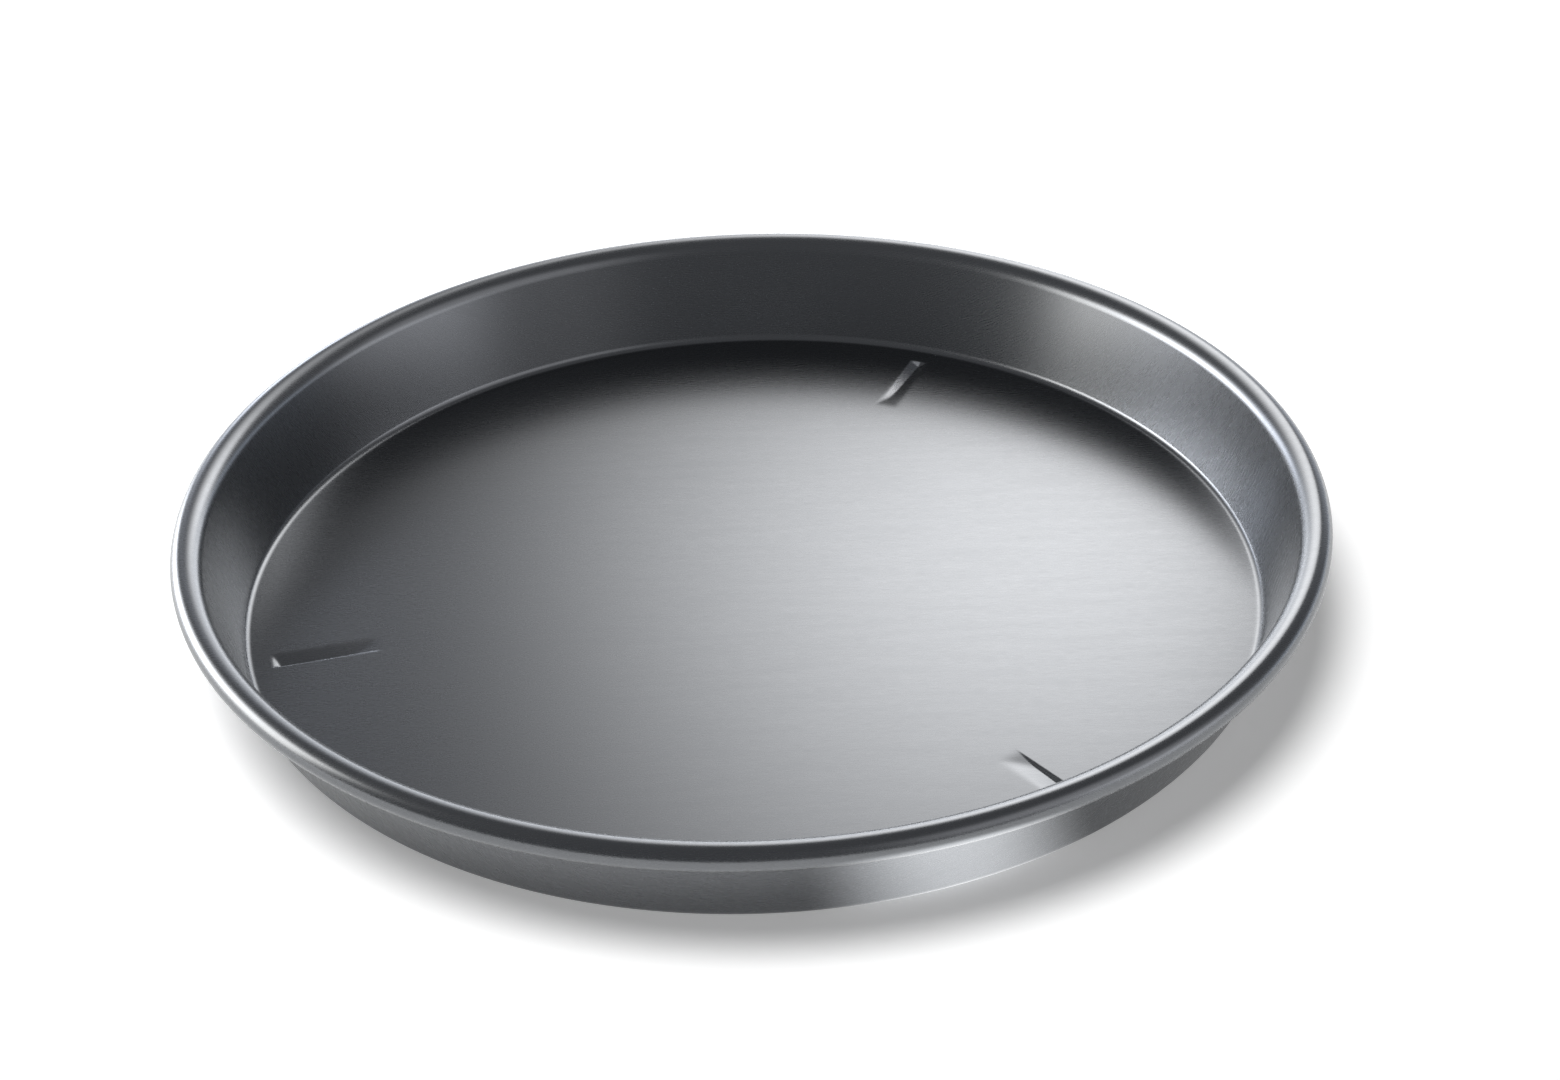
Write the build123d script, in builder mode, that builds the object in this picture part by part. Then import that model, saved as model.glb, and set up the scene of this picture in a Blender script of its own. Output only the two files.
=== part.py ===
from build123d import *
import os
from math import acos, atan2, cos, degrees, hypot, radians, sin, tan

# A round pizza pan. One disc of sheet metal is pressed into a flat floor and a low leaning wall,
# its edge is rolled outwards round a wire ring, and three radial ribs are pressed down into the floor.
# The origin is on the pan's axis, level with the lowest points of the ribs that the pan stands on.

# Driving sizes in millimetres: the wall spreads outwards by wall_spread on its way up from the flat floor
top_diameter = 355.6
wall_spread = 11.6
pan_height = 38.1
sheet = 1.6
corner_radius = 2.8
wire_diameter = 4.2

# Room left where the sheet is rolled round the wire and back towards the wall, and how far it is rolled
wire_clearance = 0.4
roll_clearance = 0.16
roll_turn = 260

# The butt joint of the wire ring
joint_gap = 1.0
joint_angle = 100

# The pressed ribs: where they point, where they start and end, and how deep the sheet is pushed
rib_angles = [66, 192, 307]
rib_margin = 6.2
rib_length = 33
rib_width = 7.2
rib_shallow = 0.5
rib_deep = 1.0
rib_inner_run = 5
rib_outer_run = 3
overrun = 0.2

# How steeply the sheet is bent at a rib: across its shallow and deep stations, and at its two ends
shallow_slope = atan2(rib_shallow, rib_width / 2)
deep_slope = atan2(rib_deep, rib_width / 2)
inner_slope = atan2(rib_shallow, rib_inner_run)
outer_slope = atan2(rib_deep, rib_outer_run)

# Heights above the lowest points of the ribs
floor_radius = top_diameter / 2 - wall_spread
floor_under = rib_deep + sheet / cos(deep_slope) - sheet
floor_top = floor_under + sheet
rim_top = floor_under + pan_height
corner_height = floor_top + corner_radius

# The roll round the wire
roll_inner_radius = wire_diameter / 2 + wire_clearance
roll_outer_radius = roll_inner_radius + sheet
wire_height = rim_top - roll_outer_radius

# The wall leans so that it is tangent to the corner and to the flare, and the flare just clears the roll
lean = 0
solving_steps = 30
for step in range(solving_steps):
    flare_radius = roll_outer_radius + (sheet + roll_clearance) / (1 - sin(lean))
    wire_ring_radius = top_diameter / 2 + flare_radius * cos(lean)
    flare_height = rim_top - flare_radius
    run = wire_ring_radius - floor_radius
    rise = flare_height - corner_height
    lean = acos((corner_radius + flare_radius) / hypot(run, rise)) - atan2(rise, run)
wall_angle = degrees(lean)

# The body's section, from the axis out to the roll and back, with every layer one sheet thick
corner_centre = (floor_radius, corner_height)
flare_centre = (wire_ring_radius, flare_height)
wire_centre = (wire_ring_radius, wire_height)
with BuildPart() as pan_shell:
    with BuildSketch(Plane.XZ):
        with BuildLine():
            underside = Line((0, floor_under), (floor_radius, floor_under))
            outer_corner = CenterArc(corner_centre, corner_radius + sheet, -90, 90 - wall_angle)
            under_flare = CenterArc(flare_centre, flare_radius - sheet, 180 - wall_angle, wall_angle - 90)
            Line(outer_corner @ 1, under_flare @ 0)
            roll_inside = CenterArc(wire_centre, roll_inner_radius, 90, -roll_turn)
            roll_outside = CenterArc(wire_centre, roll_outer_radius, 90 - roll_turn, roll_turn)
            Line(roll_inside @ 1, roll_outside @ 0)
            flare = CenterArc(flare_centre, flare_radius, 90, 90 - wall_angle)
            inner_corner = CenterArc(corner_centre, corner_radius, -wall_angle, wall_angle - 90)
            Line(flare @ 1, inner_corner @ 0)
            floor_line = Line(inner_corner @ 1, (0, floor_top))
            Line(floor_line @ 1, underside @ 0)
        make_face()
    revolve(axis=Axis.Z)


def rib_form(stations, shoulder, top):
    """A V-shaped bar along +X through stations of (reach, half width, bottom height)."""
    with BuildPart() as form:
        for reach, half_width, bottom in stations:
            with BuildSketch(Plane(origin=(reach, 0, 0), x_dir=(0, 1, 0), z_dir=(1, 0, 0))):
                with BuildLine():
                    Polyline(
                        (-half_width, shoulder),
                        (-half_width, top),
                        (half_width, top),
                        (half_width, shoulder),
                        (0, bottom),
                        close=True,
                    )
                make_face()
        loft(ruled=True)
    return form.part


# The upper face of a rib: shallow towards the pan's middle, deep at its outer end
rib_outer_end = floor_radius - rib_margin
rib_inner_end = rib_outer_end - rib_length
half_rib = rib_width / 2
groove = rib_form(
    [
        (rib_inner_end, half_rib, floor_top + overrun / 2),
        (rib_inner_end + rib_inner_run, half_rib, floor_top - rib_shallow),
        (rib_outer_end - rib_outer_run, half_rib, floor_top - rib_deep),
        (rib_outer_end, half_rib, floor_top + overrun / 2),
    ],
    shoulder=floor_top + overrun,
    top=floor_top + 2 * overrun,
)

# The lower face of a rib: the same bends, one sheet further down and out
inner_shift = sheet * tan(inner_slope / 2)
outer_shift = sheet * tan(outer_slope / 2)
half_shallow = half_rib + sheet * tan(shallow_slope / 2)
half_deep = half_rib + sheet * tan(deep_slope / 2)
shallow_bottom = floor_top - rib_shallow - sheet / cos(shallow_slope)
keel = rib_form(
    [
        (rib_inner_end - inner_shift, half_shallow, floor_under + overrun / 2),
        (rib_inner_end + rib_inner_run - inner_shift, half_shallow, shallow_bottom),
        (rib_outer_end - rib_outer_run + outer_shift, half_deep, 0),
        (rib_outer_end + outer_shift, half_deep, floor_under + overrun / 2),
    ],
    shoulder=floor_under + overrun,
    top=floor_under + 2 * overrun,
)

# The pan: the shell with its ribs pressed down
rib_places = [Location((0, 0, 0), (0, 0, angle)) for angle in rib_angles]
with BuildPart() as pan_body:
    add(pan_shell.part)
    with Locations(*rib_places):
        add(keel)
    with Locations(*rib_places):
        add(groove, mode=Mode.SUBTRACT)

# The wire ring inside the roll, bent to a circle with its ends butted
joint_turn = degrees(joint_gap / wire_ring_radius)
joint_direction = radians(joint_angle)
joint_plane = Plane(
    origin=(0, 0, 0),
    x_dir=(cos(joint_direction), sin(joint_direction), 0),
    z_dir=(sin(joint_direction), -cos(joint_direction), 0),
)
with BuildPart() as rim_wire:
    with BuildSketch(joint_plane):
        with Locations(wire_centre):
            Circle(wire_diameter / 2)
    revolve(axis=Axis.Z, revolution_arc=360 - joint_turn)

os.makedirs("parts", exist_ok=True)
pan_body.part.label = "pan_body"
rim_wire.part.label = "rim_wire"
export_step(pan_body.part, "parts/pan_body.step")
export_step(rim_wire.part, "parts/rim_wire.step")
print("wall lean", round(wall_angle, 2), "flare radius", round(flare_radius, 3))
print("outside radius", round(wire_ring_radius + roll_outer_radius, 3), "overall height", round(rim_top, 3))
print("floor underside at", round(floor_under, 3))
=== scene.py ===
import bpy
import math
from mathutils import Matrix, Vector


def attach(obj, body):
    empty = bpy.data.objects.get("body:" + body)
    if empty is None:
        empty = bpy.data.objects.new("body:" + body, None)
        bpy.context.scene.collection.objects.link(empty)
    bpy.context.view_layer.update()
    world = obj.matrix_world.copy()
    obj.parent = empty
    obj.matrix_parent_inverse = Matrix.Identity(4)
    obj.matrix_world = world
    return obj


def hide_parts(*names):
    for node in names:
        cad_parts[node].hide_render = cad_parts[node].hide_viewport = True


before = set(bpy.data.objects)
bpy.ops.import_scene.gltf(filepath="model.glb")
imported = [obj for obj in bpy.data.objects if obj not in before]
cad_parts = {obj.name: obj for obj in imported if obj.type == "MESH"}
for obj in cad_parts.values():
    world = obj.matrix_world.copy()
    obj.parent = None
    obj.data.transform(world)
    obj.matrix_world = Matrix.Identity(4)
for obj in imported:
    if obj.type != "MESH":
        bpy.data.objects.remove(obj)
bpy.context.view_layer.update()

scene = bpy.context.scene

# The camera: a long lens above the front of the pan, looking down at it at a third of a right angle.
# It leans a little to one side, so that the pan lies slightly turned in the picture.
floor_under = 0.001061
camera_distance = 0.9891
camera_elevation = math.radians(33.779)
camera_roll = math.radians(-1.857)
aim_right = 0.00925
aim_height = 0.01874
camera_aim = Vector((aim_right, 0, aim_height + floor_under))
camera_place = Vector((
    0,
    -camera_distance * math.cos(camera_elevation),
    camera_distance * math.sin(camera_elevation) + floor_under,
))
ahead = (camera_aim - camera_place).normalized()
level_right = ahead.cross(Vector((0, 0, 1))).normalized()
level_up = level_right.cross(ahead)
right = level_right * math.cos(camera_roll) + level_up * math.sin(camera_roll)
up = level_up * math.cos(camera_roll) - level_right * math.sin(camera_roll)
camera_data = bpy.data.cameras.new("camera")
camera_data.sensor_width = 36
camera_data.lens = 68.31
camera = bpy.data.objects.new("camera", camera_data)
camera.matrix_world = Matrix.Translation(camera_place) @ Matrix((right, up, -ahead)).transposed().to_4x4()
scene.collection.objects.link(camera)
scene.camera = camera

# The pan: one disc of satin grey aluminium sheet, pressed into a flat floor, a tight corner and a low
# leaning wall. Its edge flares out and is rolled right round a wire. Three short ribs are pressed down
# into the floor beside the corner, and the pan stands on them.
sheet = 0.0016
pan_height = 0.0381
floor_radius = 0.1662
corner_radius = 0.0028
flare_radius = 0.006566
roll_outer = 0.0041
roll_inner = 0.0025
wire_ring_radius = 0.184091
wall_lean = 16.65
roll_turn = 260
rib_directions = (66, 192.3, 307.3)
rib_creases = ((0.0009, -0.0010), (0.0027, 0.0024), (0.0028, 0.0018))


def feed(tree, socket, value):
    """Give a node's socket a link from another socket, or a plain value."""
    if isinstance(value, bpy.types.NodeSocket):
        tree.links.new(value, socket)
    else:
        socket.default_value = value


def place_node(tree, kind, values=(), **settings):
    """Add a node with its settings, and feed its sockets, which are given by name or by number."""
    node = tree.nodes.new(kind)
    for name, setting in settings.items():
        setattr(node, name, setting)
    for socket, value in dict(values).items():
        feed(tree, node.inputs[socket], value)
    return node


def calc(tree, operation, *values):
    """One step of arithmetic in a node tree."""
    return place_node(tree, "ShaderNodeMath", enumerate(values), operation=operation).outputs[0]


def vector_calc(tree, operation, *values):
    """One step of vector arithmetic in a node tree."""
    return place_node(tree, "ShaderNodeVectorMath", enumerate(values), operation=operation).outputs[0]


def combine(tree, x, y, z):
    """A vector from its three parts."""
    return place_node(tree, "ShaderNodeCombineXYZ", {0: x, 1: y, 2: z}).outputs[0]


def parts_of(tree, vector):
    """The three parts of a vector."""
    return place_node(tree, "ShaderNodeSeparateXYZ", {0: vector}).outputs


def ramp(tree, value, low, high, start=0, end=1, kind="LINEAR"):
    """A number that goes from start to end while the value goes from low to high."""
    return place_node(tree, "ShaderNodeMapRange", {
        "Value": value,
        "From Min": low,
        "From Max": high,
        "To Min": start,
        "To Max": end,
    }, interpolation_type=kind).outputs[0]


def soft_ramp(tree, value, low, high, start=0, end=1):
    """The same as a ramp, with soft ends."""
    return ramp(tree, value, low, high, start, end, "SMOOTHSTEP")


def from_axis(tree, spot):
    """How far a place is from the pan's axis."""
    level = vector_calc(tree, "MULTIPLY", spot, (1, 1, 0))
    return place_node(tree, "ShaderNodeVectorMath", {0: level}, operation="LENGTH").outputs["Value"]


def new_tree(name, inputs, outputs):
    """A geometry node tree with its named inputs, given as name: (kind, default), and its outputs."""
    tree = bpy.data.node_groups.new(name, "GeometryNodeTree")
    for label, (kind, default) in inputs.items():
        socket = tree.interface.new_socket(label, in_out="INPUT", socket_type=kind)
        if default is not None:
            socket.default_value = default
    for label, kind in outputs.items():
        tree.interface.new_socket(label, in_out="OUTPUT", socket_type=kind)
    entry = tree.nodes.new("NodeGroupInput").outputs
    leave = tree.nodes.new("NodeGroupOutput").inputs
    return tree, entry, leave


# How deep one rib is at a place: two flanks meet in a crease that runs from the rib's left edge at its
# inner end towards its right edge at its outer end, and the rib deepens outwards to a steep end. The tree
# also says where the left flank is, and how strongly a painted highlight covers it: more and more outwards.
number = "NodeSocketFloat"
count = "NodeSocketInt"
rib_tree, rib_in, rib_out = new_tree(
    "rib_depth",
    {
        "Place": ("NodeSocketVector", None),
        "Direction": (number, 0),
        "Inner end": (number, 0.1262),
        "Outer end": (number, 0.1600),
        "Half width": (number, 0.0036),
        "Inner crease": (number, 0.0022),
        "Outer crease": (number, -0.0008),
        "Inner depth": (number, 0.0005),
        "Outer depth": (number, 0.00115),
        "Inner slope": (number, 0.08),
        "Outer slope": (number, 0.55),
        "Fold": (number, 0.00015),
        "Shoulder": (number, 0.00025),
        "Highlight starts past crease": (number, 0.0001),
        "Highlight is whole past crease": (number, 0.0005),
        "Highlight starts at depth": (number, 0.00004),
        "Highlight is whole at depth": (number, 0.00022),
        "Highlight at inner end": (number, 0.02),
        "Highlight is whole from reach": (number, 0.147),
    },
    {"Depth": number, "Flank highlight": number},
)
place_parts = parts_of(rib_tree, rib_in["Place"])
cosine = calc(rib_tree, "COSINE", rib_in["Direction"])
sine = calc(rib_tree, "SINE", rib_in["Direction"])
reach = calc(rib_tree, "ADD", calc(rib_tree, "MULTIPLY", place_parts[0], cosine),
             calc(rib_tree, "MULTIPLY", place_parts[1], sine))
side = calc(rib_tree, "SUBTRACT", calc(rib_tree, "MULTIPLY", place_parts[1], cosine),
            calc(rib_tree, "MULTIPLY", place_parts[0], sine))
crease = ramp(rib_tree, reach, rib_in["Inner end"], rib_in["Outer end"],
              rib_in["Inner crease"], rib_in["Outer crease"])
crease_depth = ramp(rib_tree, reach, rib_in["Inner end"], rib_in["Outer end"],
                    rib_in["Inner depth"], rib_in["Outer depth"])
left_room = calc(rib_tree, "SUBTRACT", rib_in["Half width"], side)
left_span = calc(rib_tree, "SUBTRACT", rib_in["Half width"], crease)
right_room = calc(rib_tree, "ADD", rib_in["Half width"], side)
right_span = calc(rib_tree, "ADD", rib_in["Half width"], crease)
left_flank = calc(rib_tree, "MULTIPLY", crease_depth, calc(rib_tree, "DIVIDE", left_room, left_span))
right_flank = calc(rib_tree, "MULTIPLY", crease_depth, calc(rib_tree, "DIVIDE", right_room, right_span))
inner_ramp = calc(rib_tree, "MULTIPLY", rib_in["Inner slope"],
                  calc(rib_tree, "SUBTRACT", reach, rib_in["Inner end"]))
outer_ramp = calc(rib_tree, "MULTIPLY", rib_in["Outer slope"],
                  calc(rib_tree, "SUBTRACT", rib_in["Outer end"], reach))
groove = calc(rib_tree, "SMOOTH_MIN", left_flank, right_flank, rib_in["Fold"])
groove = calc(rib_tree, "SMOOTH_MIN", groove, inner_ramp, rib_in["Shoulder"])
groove = calc(rib_tree, "SMOOTH_MIN", groove, outer_ramp, rib_in["Shoulder"])
groove = calc(rib_tree, "SMOOTH_MAX", groove, 0, rib_in["Shoulder"])
feed(rib_tree, rib_out["Depth"], groove)
# Where the painted highlight covers the left flank: past the crease, down in the groove, and more outwards.
past_crease = ramp(rib_tree, calc(rib_tree, "SUBTRACT", side, crease),
                   rib_in["Highlight starts past crease"], rib_in["Highlight is whole past crease"])
well_in = soft_ramp(rib_tree, groove, rib_in["Highlight starts at depth"], rib_in["Highlight is whole at depth"])
outward_share = soft_ramp(rib_tree, reach, rib_in["Inner end"], rib_in["Highlight is whole from reach"],
                          rib_in["Highlight at inner end"])
flank = calc(rib_tree, "MULTIPLY", past_crease, well_in)
feed(rib_tree, rib_out["Flank highlight"], calc(rib_tree, "MULTIPLY", flank, outward_share))

# The whole pan: a closed section is drawn, swept round the axis on a grid of rows and directions that is
# finer at the ribs, and pressed down at each rib, with the lower face one sheet away from the upper face.
pan_inputs = {
    "Sheet": (number, sheet),
    "Height": (number, pan_height),
    "Floor underside": (number, floor_under),
    "Floor radius": (number, floor_radius),
    "Corner radius": (number, corner_radius),
    "Flare radius": (number, flare_radius),
    "Roll outer radius": (number, roll_outer),
    "Roll inner radius": (number, roll_inner),
    "Wire ring radius": (number, wire_ring_radius),
    "Wall lean": (number, math.radians(wall_lean)),
    "Roll turn": (number, math.radians(roll_turn)),
    "Middle rows": (count, 6),
    "Rib zone start": (number, 0.1235),
    "Rib zone rows": (count, 60),
    "Rib zone end gap": (number, 0.0015),
    "Bend rows": (count, 12),
    "Under flare rows": (count, 8),
    "Roll outside rows": (count, 36),
    "Roll inside rows": (count, 20),
    "Rib half spread": (number, math.radians(2.4)),
    "Rib columns": (count, 49),
    "Column step": (number, math.radians(1.5)),
    "Slope step": (number, 0.00002),
    "Sharpest smooth edge": (number, math.radians(50)),
    "Finish": ("NodeSocketMaterial", None),
}
rib_names = ("Rib 1", "Rib 2", "Rib 3")
for rib, way, (inner_crease, outer_crease) in zip(rib_names, rib_directions, rib_creases):
    pan_inputs[rib] = (number, math.radians(way))
    pan_inputs[rib + " inner crease"] = (number, inner_crease)
    pan_inputs[rib + " outer crease"] = (number, outer_crease)
pan_tree, pan_in, pan_out = new_tree("pressed_pan", pan_inputs, {"Pan": "NodeSocketGeometry"})


def add_up(first, *rest):
    """The sum of several sockets or numbers in the pan's tree."""
    total = first
    for term in rest:
        total = calc(pan_tree, "ADD", total, term)
    return total


def less(a, b):
    """The difference of two sockets or numbers in the pan's tree."""
    return calc(pan_tree, "SUBTRACT", a, b)


quarter = math.pi / 2
floor_upper = add_up(pan_in["Floor underside"], pan_in["Sheet"])
rim_top = add_up(pan_in["Floor underside"], pan_in["Height"])
corner_height = add_up(floor_upper, pan_in["Corner radius"])
flare_height = less(rim_top, pan_in["Flare radius"])
wire_height = less(rim_top, pan_in["Roll outer radius"])
bend = less(quarter, pan_in["Wall lean"])
section_pieces = []


def section_arc(centre_x, centre_y, radius, start, sweep, rows):
    """An arc of the section."""
    arc = place_node(pan_tree, "GeometryNodeCurveArc", {
        "Resolution": rows,
        "Radius": radius,
        "Start Angle": start,
        "Sweep Angle": sweep,
    }).outputs[0]
    moved = place_node(pan_tree, "GeometryNodeTransform", {
        "Geometry": arc,
        "Translation": combine(pan_tree, centre_x, centre_y, 0),
    }).outputs[0]
    section_pieces.append(moved)


def section_line(start_x, end_x, height, rows):
    """A level line of the section, divided into even rows."""
    line = place_node(pan_tree, "GeometryNodeCurvePrimitiveLine", {
        "Start": combine(pan_tree, start_x, height, 0),
        "End": combine(pan_tree, end_x, height, 0),
    }).outputs[0]
    divided = place_node(pan_tree, "GeometryNodeResampleCurve", {"Curve": line, "Count": rows}).outputs[0]
    section_pieces.append(divided)


def join(pieces):
    """Several geometries as one, in the order in which they were made."""
    joined = place_node(pan_tree, "GeometryNodeJoinGeometry")
    for piece in reversed(pieces):
        pan_tree.links.new(piece, joined.inputs[0])
    return joined.outputs[0]


section_line(0, pan_in["Rib zone start"], floor_upper, pan_in["Middle rows"])
section_line(pan_in["Rib zone start"], pan_in["Floor radius"], floor_upper, pan_in["Rib zone rows"])
section_arc(pan_in["Floor radius"], corner_height, pan_in["Corner radius"], -quarter, bend,
            pan_in["Bend rows"])
section_arc(pan_in["Wire ring radius"], flare_height, pan_in["Flare radius"],
            less(math.pi, pan_in["Wall lean"]), less(0, bend), pan_in["Bend rows"])
section_arc(pan_in["Wire ring radius"], wire_height, pan_in["Roll outer radius"],
            quarter, less(0, pan_in["Roll turn"]), pan_in["Roll outside rows"])
section_arc(pan_in["Wire ring radius"], wire_height, pan_in["Roll inner radius"],
            less(quarter, pan_in["Roll turn"]), pan_in["Roll turn"], pan_in["Roll inside rows"])
section_arc(pan_in["Wire ring radius"], flare_height, less(pan_in["Flare radius"], pan_in["Sheet"]),
            quarter, bend, pan_in["Under flare rows"])
section_arc(pan_in["Floor radius"], corner_height, add_up(pan_in["Corner radius"], pan_in["Sheet"]),
            less(0, pan_in["Wall lean"]), less(0, bend), pan_in["Bend rows"])
section_line(pan_in["Floor radius"], pan_in["Rib zone start"], pan_in["Floor underside"],
             pan_in["Rib zone rows"])
section_line(pan_in["Rib zone start"], 0, pan_in["Floor underside"], pan_in["Middle rows"])
section_points = place_node(pan_tree, "GeometryNodeCurveToPoints", {"Curve": join(section_pieces)},
                            mode="EVALUATED").outputs[0]
section_curve = place_node(pan_tree, "GeometryNodePointsToCurves", {"Points": section_points}).outputs[0]
run_along = pan_tree.nodes.new("GeometryNodeSplineParameter").outputs["Length"]

# The directions that the grid's columns point in: close together across each rib, wider between ribs
direction_lines = []


def direction_line(start, end, columns):
    """A run of column directions, kept as the x of a line's points."""
    line = place_node(pan_tree, "GeometryNodeMeshLine", {
        "Count": columns,
        "Start Location": combine(pan_tree, start, 0, 0),
        "Offset": combine(pan_tree, end, 0, 0),
    }, mode="END_POINTS").outputs[0]
    direction_lines.append(line)


rib_ways = [pan_in[rib] for rib in rib_names]
next_ways = rib_ways[1:] + [add_up(rib_ways[0], 2 * math.pi)]
for rib_way, next_way in zip(rib_ways, next_ways):
    start = less(rib_way, pan_in["Rib half spread"])
    end = add_up(rib_way, pan_in["Rib half spread"])
    next_start = less(next_way, pan_in["Rib half spread"])
    steps = calc(pan_tree, "CEIL", calc(pan_tree, "DIVIDE", less(next_start, end), pan_in["Column step"]))
    direction_line(start, end, pan_in["Rib columns"])
    direction_line(end, next_start, add_up(steps, 1))
directions = join(direction_lines)


def amount(geometry, component):
    """How many points a geometry has."""
    return place_node(pan_tree, "GeometryNodeAttributeDomainSize", {0: geometry},
                      component=component).outputs["Point Count"]


row_count = amount(section_curve, "CURVE")
column_count = amount(directions, "MESH")
grid = place_node(pan_tree, "GeometryNodeMeshGrid", {"Vertices X": row_count, "Vertices Y": column_count})
index = pan_tree.nodes.new("GeometryNodeInputIndex").outputs[0]
half = 0.5
row = calc(pan_tree, "FLOOR", calc(pan_tree, "DIVIDE", add_up(index, half), column_count))
column = less(index, calc(pan_tree, "MULTIPLY", row, column_count))


def sample(geometry, kind, value, at):
    """A value read from one point of another geometry."""
    return place_node(pan_tree, "GeometryNodeSampleIndex", {
        "Geometry": geometry,
        "Value": value,
        "Index": at,
    }, data_type=kind).outputs[0]


position = pan_tree.nodes.new("GeometryNodeInputPosition").outputs[0]
section_parts = parts_of(pan_tree, sample(section_curve, "FLOAT_VECTOR", position, row))
direction = parts_of(pan_tree, sample(directions, "FLOAT_VECTOR", position, column))[0]
run_out = sample(section_curve, "FLOAT", run_along, row)
whole_run = sample(section_curve, "FLOAT", run_along, less(row_count, 1))
outward = combine(pan_tree, calc(pan_tree, "COSINE", direction), calc(pan_tree, "SINE", direction), 0)
level_place = vector_calc(pan_tree, "MULTIPLY", outward,
                          combine(pan_tree, section_parts[0], section_parts[0], 0))
swept_place = vector_calc(pan_tree, "ADD", level_place, combine(pan_tree, 0, 0, section_parts[1]))

# The place on the flat disc before it was pressed, which the finish's grain follows. The lower face is
# kept well apart from the upper one, so that its grain is another.
lower_face_shift = 0.5
merging_distance = 1e-6
lower_run = less(whole_run, run_out)
flat_run = calc(pan_tree, "MINIMUM", run_out, lower_run)
lower_side = calc(pan_tree, "GREATER_THAN", run_out, lower_run)
flat_place = vector_calc(pan_tree, "MULTIPLY", outward, combine(pan_tree, flat_run, flat_run, 0))
blank_place = vector_calc(pan_tree, "ADD", flat_place,
                          combine(pan_tree, 0, 0, calc(pan_tree, "MULTIPLY", lower_side, lower_face_shift)))
marked = place_node(pan_tree, "GeometryNodeStoreNamedAttribute", {
    "Geometry": grid.outputs["Mesh"],
    "Name": "blank",
    "Value": blank_place,
}, data_type="FLOAT_VECTOR").outputs[0]
swept = place_node(pan_tree, "GeometryNodeSetPosition", {
    "Geometry": marked,
    "Position": swept_place,
}).outputs[0]
closed = place_node(pan_tree, "GeometryNodeMergeByDistance", {
    "Geometry": swept,
    "Distance": merging_distance,
}).outputs[0]


def pressed_at(spot):
    """How far the sheet is pressed down at a place by all the ribs, and where the first one carries a
    painted highlight.
    """
    total = 0
    rib_highlights = []
    for rib in rib_names:
        group = place_node(pan_tree, "GeometryNodeGroup", node_tree=rib_tree)
        feed(pan_tree, group.inputs["Place"], spot)
        feed(pan_tree, group.inputs["Direction"], pan_in[rib])
        feed(pan_tree, group.inputs["Inner crease"], pan_in[rib + " inner crease"])
        feed(pan_tree, group.inputs["Outer crease"], pan_in[rib + " outer crease"])
        total = add_up(total, group.outputs["Depth"])
        rib_highlights.append(group.outputs["Flank highlight"])
    return total, rib_highlights[0]


slope_step = pan_in["Slope step"]
depth, first_rib_highlight = pressed_at(position)
beside = vector_calc(pan_tree, "ADD", position, combine(pan_tree, slope_step, 0, 0))
behind = vector_calc(pan_tree, "ADD", position, combine(pan_tree, 0, slope_step, 0))
sheet_normal = vector_calc(pan_tree, "NORMALIZE", combine(
    pan_tree, less(pressed_at(beside)[0], depth), less(pressed_at(behind)[0], depth), slope_step))
one_sheet_below = place_node(pan_tree, "ShaderNodeVectorMath", {
    0: sheet_normal,
    "Scale": less(0, pan_in["Sheet"]),
}, operation="SCALE").outputs[0]
place_now = parts_of(pan_tree, position)
upper_spot = combine(pan_tree, place_now[0], place_now[1], less(floor_upper, depth))
lower_spot = vector_calc(pan_tree, "ADD", upper_spot, one_sheet_below)
middle_height = less(floor_upper, calc(pan_tree, "MULTIPLY", pan_in["Sheet"], half))
is_upper = calc(pan_tree, "GREATER_THAN", place_now[2], middle_height)
pressed_spot = place_node(pan_tree, "ShaderNodeMix", {
    0: is_upper,
    4: lower_spot,
    5: upper_spot,
}, data_type="VECTOR").outputs[1]
reach_now = from_axis(pan_tree, position)
rib_zone_end = less(pan_in["Floor radius"], pan_in["Rib zone end gap"])
in_rib_zone = calc(pan_tree, "MULTIPLY",
                   calc(pan_tree, "GREATER_THAN", reach_now, pan_in["Rib zone start"]),
                   calc(pan_tree, "LESS_THAN", reach_now, rib_zone_end))
# Stores where the painted highlight lies: the back rib's left flank, on the upper face only.
highlight_painted = place_node(pan_tree, "GeometryNodeStoreNamedAttribute", {
    "Geometry": closed,
    "Name": "highlight_painted",
    "Value": calc(pan_tree, "MULTIPLY", first_rib_highlight, is_upper),
}, data_type="FLOAT").outputs[0]
pressed = place_node(pan_tree, "GeometryNodeSetPosition", {
    "Geometry": highlight_painted,
    "Selection": in_rib_zone,
    "Position": pressed_spot,
}).outputs[0]
soft_edge = calc(pan_tree, "LESS_THAN",
                 pan_tree.nodes.new("GeometryNodeInputMeshEdgeAngle").outputs["Unsigned Angle"],
                 pan_in["Sharpest smooth edge"])
smooth_faces = place_node(pan_tree, "GeometryNodeSetShadeSmooth", {"Geometry": pressed},
                          domain="FACE").outputs[0]
smooth = place_node(pan_tree, "GeometryNodeSetShadeSmooth", {
    "Geometry": smooth_faces,
    "Shade Smooth": soft_edge,
}, domain="EDGE").outputs[0]
real = place_node(pan_tree, "GeometryNodeRealizeInstances", {"Geometry": smooth}).outputs[0]
finished = place_node(pan_tree, "GeometryNodeSetMaterial", {
    "Geometry": real,
    "Material": pan_in["Finish"],
}).outputs[0]
feed(pan_tree, pan_out["Pan"], finished)
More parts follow.
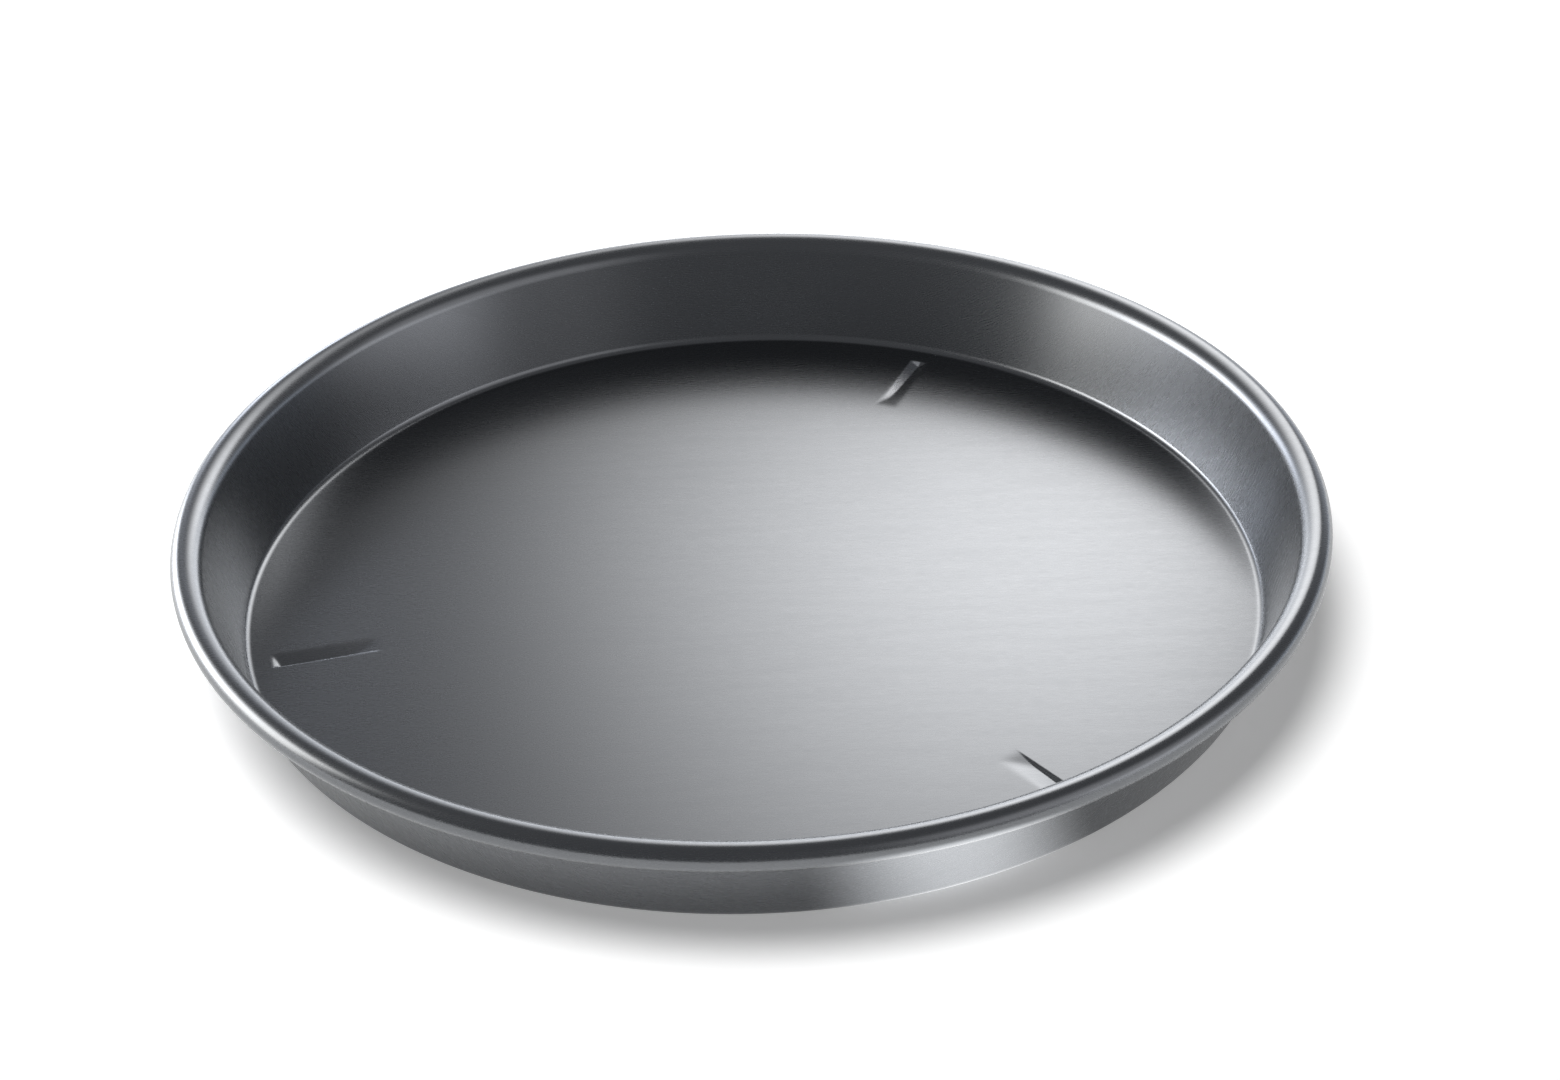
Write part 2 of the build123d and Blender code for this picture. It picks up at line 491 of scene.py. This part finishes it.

# The pan's finish: satin hard-anodised aluminium with the fine straight grain of the rolled sheet, which
# is drawn out flat towards the rim. One flank of the back rib gets a painted highlight in near-white.
satin_grey = (0.185, 0.192, 0.202)
painted_highlight_white = (0.86, 0.88, 0.92, 1)
grain_layer_height = 1 / 40
fine_share = 0.65
grain_low = 0.3
grain_high = 0.7
grain_bump = 0.00003
relief_fades_from = 0.165
relief_fades_to = 0.185
satin = bpy.data.materials.new("satin_grey_aluminium")
satin.use_nodes = True
satin_tree = satin.node_tree
satin_shader = satin_tree.nodes["Principled BSDF"]
satin_shader.inputs["Metallic"].default_value = 1
blank = place_node(satin_tree, "ShaderNodeAttribute", attribute_name="blank").outputs["Vector"]


def grain(lengthwise, across):
    """Streaks that lie along the sheet, as a noise from 0 to 1."""
    spot = vector_calc(satin_tree, "MULTIPLY", blank, (1 / lengthwise, 1 / across, 1 / grain_layer_height))
    return place_node(satin_tree, "ShaderNodeTexNoise", {
        "Vector": spot,
        "Scale": 1,
        "Detail": 2,
    }).outputs["Fac"]


fine_grain = grain(lengthwise=0.0045, across=0.00045)
broad_grain = grain(lengthwise=0.03, across=0.004)
both_grains = calc(satin_tree, "MULTIPLY_ADD", broad_grain, 1 - fine_share,
                   calc(satin_tree, "MULTIPLY", fine_grain, fine_share))
tone = ramp(satin_tree, both_grains, grain_low, grain_high, 0.97, 1.03)
colour = vector_calc(satin_tree, "MULTIPLY", satin_grey, combine(satin_tree, tone, tone, tone))
# Painted highlight: the back rib's left flank turns near-white, standing in for light on that flank.
painted_highlight_share = place_node(satin_tree, "ShaderNodeAttribute", attribute_name="highlight_painted").outputs["Fac"]
colour_with_painted_highlight = place_node(satin_tree, "ShaderNodeMix", {
    0: painted_highlight_share,
    6: colour,
    7: painted_highlight_white,
}, data_type="RGBA").outputs[2]
feed(satin_tree, satin_shader.inputs["Base Color"], colour_with_painted_highlight)
satin_roughness = ramp(satin_tree, both_grains, grain_low, grain_high, 0.29, 0.26)
feed(satin_tree, satin_shader.inputs["Roughness"], satin_roughness)
blank_reach = from_axis(satin_tree, blank)
relief = place_node(satin_tree, "ShaderNodeBump", {
    "Strength": ramp(satin_tree, blank_reach, relief_fades_from, relief_fades_to, 0.03, 0.006),
    "Distance": grain_bump,
    "Height": both_grains,
})
feed(satin_tree, satin_shader.inputs["Normal"], relief.outputs[0])


def build_mesh(name, tree, settings):
    """Run a tree on an empty mesh and return what it makes as a plain object at the origin."""
    seed = bpy.data.objects.new(name + "_seed", bpy.data.meshes.new(name + "_seed"))
    scene.collection.objects.link(seed)
    modifier = seed.modifiers.new("shape", "NODES")
    modifier.node_group = tree
    for item in tree.interface.items_tree:
        if item.item_type == "SOCKET" and item.in_out == "INPUT" and item.name in settings:
            modifier[item.identifier] = settings[item.name]
    seed.update_tag()
    bpy.context.view_layer.update()
    ready = seed.evaluated_get(bpy.context.evaluated_depsgraph_get())
    mesh = bpy.data.meshes.new_from_object(ready)
    mesh.name = name
    seed.modifiers.remove(modifier)
    bpy.data.objects.remove(seed)
    made = bpy.data.objects.new(name, mesh)
    scene.collection.objects.link(made)
    return made


pan = build_mesh("pressed_pan", pan_tree, {"Finish": satin})
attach(pan, "root")
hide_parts("pan_body")

# The wire inside the roll: drawn steel, bent to a ring with its ends butted. It shows only from below,
# through the narrow gap where the rolled edge comes back towards the wall.
draw_mark_stretch = (900, 900, 2500)
wire_steel = bpy.data.materials.new("drawn_steel")
wire_steel.use_nodes = True
wire_tree = wire_steel.node_tree
wire_shader = wire_tree.nodes["Principled BSDF"]
wire_shader.inputs["Metallic"].default_value = 1
wire_spot = place_node(wire_tree, "ShaderNodeTexCoord").outputs["Object"]
draw_marks = place_node(wire_tree, "ShaderNodeTexNoise", {
    "Vector": vector_calc(wire_tree, "MULTIPLY", wire_spot, draw_mark_stretch),
    "Scale": 1,
    "Detail": 3,
}).outputs["Fac"]
wire_tone = ramp(wire_tree, draw_marks, 0, 1, 0.48, 0.62)
feed(wire_tree, wire_shader.inputs["Base Color"], combine(wire_tree, wire_tone, wire_tone, wire_tone))
feed(wire_tree, wire_shader.inputs["Roughness"], ramp(wire_tree, draw_marks, 0, 1, 0.28, 0.45))
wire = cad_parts["rim_wire"]
wire.data.materials.clear()
wire.data.materials.append(wire_steel)

# The white table that the pan stands on. It keeps the pan's soft shadow. The camera and the metal see it
# glow a little: more at the back, and in a broad pool on the left. Only the metal sees a small bright
# patch beside the pan at the front right, which gives the highlight on the outside of the wall there.
table_half = 30
paper_white = (0.95, 0.95, 0.95, 1)
pool_centre = (-0.55, 0.1, 0)
pool_inner = 0.15
pool_outer = 0.5
pool_glow = 0.6
patch_centre = (0.064, -0.175, 0)
patch_inner = 0.006
patch_outer = 0.054
patch_glow = 2.3
far_edge = 0.25
near_glow = 0.30
back_glow = 0.9
table_mesh = bpy.data.meshes.new("white_table")
table_mesh.from_pydata(
    [(-table_half, -table_half, 0), (table_half, -table_half, 0),
     (table_half, table_half, 0), (-table_half, table_half, 0)],
    [],
    [(0, 1, 2, 3)],
)
table = bpy.data.objects.new("white_table", table_mesh)
scene.collection.objects.link(table)
paper = bpy.data.materials.new("white_paper")
paper.use_nodes = True
paper_tree = paper.node_tree
paper_tree.nodes.remove(paper_tree.nodes["Principled BSDF"])
ray = paper_tree.nodes.new("ShaderNodeLightPath").outputs
seen = calc(paper_tree, "MAXIMUM", ray["Is Camera Ray"], ray["Is Glossy Ray"])
seen = calc(paper_tree, "MAXIMUM", seen, ray["Is Transmission Ray"])
table_spot = place_node(paper_tree, "ShaderNodeTexCoord").outputs["Object"]


def round_glow(centre, inner, outer, strength):
    """A round glow on the table, strongest at its centre and gone at its outer edge."""
    away = place_node(paper_tree, "ShaderNodeVectorMath", {0: table_spot, 1: centre},
                      operation="DISTANCE").outputs["Value"]
    return soft_ramp(paper_tree, away, inner, outer, strength, 0)


pool = round_glow(pool_centre, pool_inner, pool_outer, pool_glow)
patch = round_glow(patch_centre, patch_inner, patch_outer, patch_glow)
mirrored_patch = calc(paper_tree, "MULTIPLY", patch, ray["Is Glossy Ray"])
far_glow = soft_ramp(paper_tree, parts_of(paper_tree, table_spot)[1], 0, far_edge, near_glow, back_glow)
seen_glow = calc(paper_tree, "MULTIPLY", seen, calc(paper_tree, "ADD", pool, far_glow))
matt = place_node(paper_tree, "ShaderNodeBsdfDiffuse", {"Color": paper_white}).outputs[0]
glow = place_node(paper_tree, "ShaderNodeEmission", {
    "Color": (1, 1, 1, 1),
    "Strength": calc(paper_tree, "ADD", mirrored_patch, seen_glow),
}).outputs[0]
feed(paper_tree, paper_tree.nodes["Material Output"].inputs["Surface"],
     place_node(paper_tree, "ShaderNodeAddShader", {0: matt, 1: glow}).outputs[0])
table_mesh.materials.append(paper)

# The lamp over the table: broad and nearly overhead, a little to the left and to the front. It gives the
# pan's soft shadow, and the metal doesn't mirror it.
lamp_bearing = math.radians(-119)
lamp_height = math.radians(75)
lamp_way = Vector((
    math.sin(lamp_bearing) * math.cos(lamp_height),
    math.cos(lamp_bearing) * math.cos(lamp_height),
    math.sin(lamp_height),
))
overhead = bpy.data.lights.new("overhead_lamp", "SUN")
overhead.energy = 2.5
overhead.angle = math.radians(32)
overhead_lamp = bpy.data.objects.new("overhead_lamp", overhead)
overhead_lamp.matrix_world = lamp_way.to_track_quat("Z", "Y").to_matrix().to_4x4()
overhead_lamp.visible_glossy = False
scene.collection.objects.link(overhead_lamp)


# The glowing cards that only the metal mirrors. Two stand on the left, a large one and a bluer one further
# back, and three stand behind: a broad one, a low strip and a small one to the left.
def glowing_card(name, start, end, bottom, top, colour, side_fades, height_fades):
    """An upright card over a line on the table, which fades over shares of its width and its height."""
    mesh = bpy.data.meshes.new(name)
    mesh.from_pydata([(*start, bottom), (*end, bottom), (*end, top), (*start, top)], [], [(0, 1, 2, 3)])
    card_map = mesh.uv_layers.new(name="card")
    for corner, spot in enumerate(((0, 0), (1, 0), (1, 1), (0, 1))):
        card_map.data[corner].uv = spot
    material = bpy.data.materials.new(name)
    material.use_nodes = True
    tree = material.node_tree
    tree.nodes.remove(tree.nodes["Principled BSDF"])
    card_parts = parts_of(tree, place_node(tree, "ShaderNodeUVMap", uv_map="card").outputs[0])
    share = 1
    for part, (low_fade, high_fade) in zip(card_parts[:2], (side_fades, height_fades)):
        share = calc(tree, "MULTIPLY", share, soft_ramp(tree, part, 0, low_fade))
        from_far_edge = calc(tree, "SUBTRACT", 1, part)
        share = calc(tree, "MULTIPLY", share, soft_ramp(tree, from_far_edge, 0, high_fade))
    emission = place_node(tree, "ShaderNodeEmission", {"Color": (*colour, 1), "Strength": share}).outputs[0]
    clear = tree.nodes.new("ShaderNodeBsdfTransparent").outputs[0]
    both = place_node(tree, "ShaderNodeAddShader", {0: emission, 1: clear}).outputs[0]
    feed(tree, tree.nodes["Material Output"].inputs["Surface"], both)
    mesh.materials.append(material)
    card = bpy.data.objects.new(name, mesh)
    card.visible_camera = False
    card.visible_diffuse = False
    card.visible_shadow = False
    scene.collection.objects.link(card)


glowing_card("left_card", start=(-0.7, -0.22), end=(-0.7, 1.15), bottom=0.002, top=0.6,
             colour=(4.8, 4.7, 4.5), side_fades=(0.1, 0.68), height_fades=(0.2, 0.4))
glowing_card("left_far_card", start=(-0.72, 0.02), end=(-0.72, 1.1), bottom=0.04, top=0.42,
             colour=(5.2, 5.4, 5.9), side_fades=(0.22, 0.45), height_fades=(0.22, 0.4))
glowing_card("right_card", start=(-0.23, 0.6), end=(0.37, 0.6), bottom=0.14, top=0.84,
             colour=(5.0, 4.92, 4.84), side_fades=(0.66, 0.18), height_fades=(0.35, 0.75))
glowing_card("horizon_strip", start=(-0.2, 0.6), end=(0.3, 0.6), bottom=0.03, top=0.2,
             colour=(2.6, 2.6, 2.6), side_fades=(0.3, 0.2), height_fades=(0.35, 0.35))
glowing_card("back_left_card", start=(-0.42, 0.6), end=(-0.2, 0.6), bottom=0.05, top=0.33,
             colour=(4.6, 4.8, 5.3), side_fades=(0.35, 0.35), height_fades=(0.3, 0.4))

# The studio round the table: dim all round, with four soft patches of light that the metal mirrors. They
# are a pale wall behind, its end on the right, a window on the right, and pale things at the front right.
dim_room = (0.195, 0.198, 0.208)
world = bpy.data.worlds.new("studio")
scene.world = world
world.use_nodes = True
world.cycles_visibility.diffuse = False
world_tree = world.node_tree
way_parts = parts_of(world_tree, place_node(world_tree, "ShaderNodeTexCoord").outputs["Generated"])
bearing = calc(world_tree, "DEGREES", calc(world_tree, "ARCTAN2", way_parts[0], way_parts[1]))
height = calc(world_tree, "DEGREES", calc(world_tree, "ARCSINE", way_parts[2]))


def between(value, low, high, low_fade, high_fade):
    """One inside a range and nothing outside it, with soft ends of the given widths in degrees."""
    rising = soft_ramp(world_tree, value, low - low_fade, low + low_fade)
    falling = soft_ramp(world_tree, value, high - high_fade, high + high_fade, 1, 0)
    return calc(world_tree, "MULTIPLY", rising, falling)


def soft_light(colour, bearings, heights):
    """A soft patch of light in the given range of bearings and heights."""
    share = calc(world_tree, "MULTIPLY", between(bearing, *bearings), between(height, *heights))
    return vector_calc(world_tree, "MULTIPLY", colour, combine(world_tree, share, share, share))


wall_behind = soft_light((0.86, 0.91, 1.0), bearings=(-60, 36, 10, 10), heights=(-15, 22, 5, 9))
wall_end = soft_light((0.85, 0.95, 1.10), bearings=(36, 80, 10, 4), heights=(-15, 9, 5, 5))
window = soft_light((1.2, 1.2, 1.24), bearings=(84, 122, 6, 8), heights=(-10, 18, 5, 8))
front_right = soft_light((0.60, 0.59, 0.60), bearings=(88, 152, 10, 10), heights=(11, 48, 8, 12))
light = wall_behind
for part in (wall_end, window, front_right, dim_room):
    light = vector_calc(world_tree, "ADD", light, part)
feed(world_tree, world_tree.nodes["Background"].inputs["Color"], light)

scene.view_settings.view_transform = "Standard"
